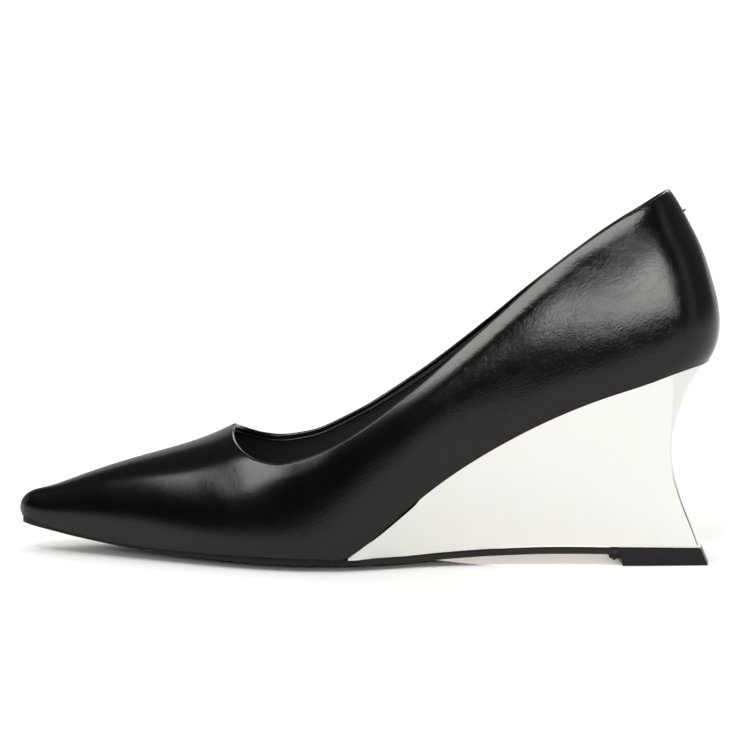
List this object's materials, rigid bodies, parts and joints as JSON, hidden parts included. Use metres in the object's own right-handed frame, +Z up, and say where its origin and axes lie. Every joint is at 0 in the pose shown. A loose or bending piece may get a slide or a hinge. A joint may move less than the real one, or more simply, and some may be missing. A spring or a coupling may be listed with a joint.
{
  "type": "wedge pump shoe",
  "caption": "Left pointed-toe pump with a low-cut black leather upper on a silver-plated wedge heel pinched at the back, a thin outsole and a black top-lift.",
  "frame": {"origin": "on the floor under the middle of the shoe", "axes": "+X from toe to heel, +Y from the outer to the inner side of the foot, +Z up"},
  "size_m": [0.2474, 0.0752, 0.1282],
  "materials": {
    "black_leather": "smooth black leather with a soft gloss",
    "insole_board": "black covered board, matt",
    "black_rubber": "thin black sole sheet, matt with a smooth edge",
    "silver_plating": "bright silver plating on a moulded heel",
    "black_top_lift": "dense black heel piece, satin"
  },
  "bodies": {
    "root": {"upper": "black_leather", "insole": "insole_board", "outsole": "black_rubber", "wedge_heel": "silver_plating", "top_lift": "black_top_lift"}
  },
  "joints": []
}
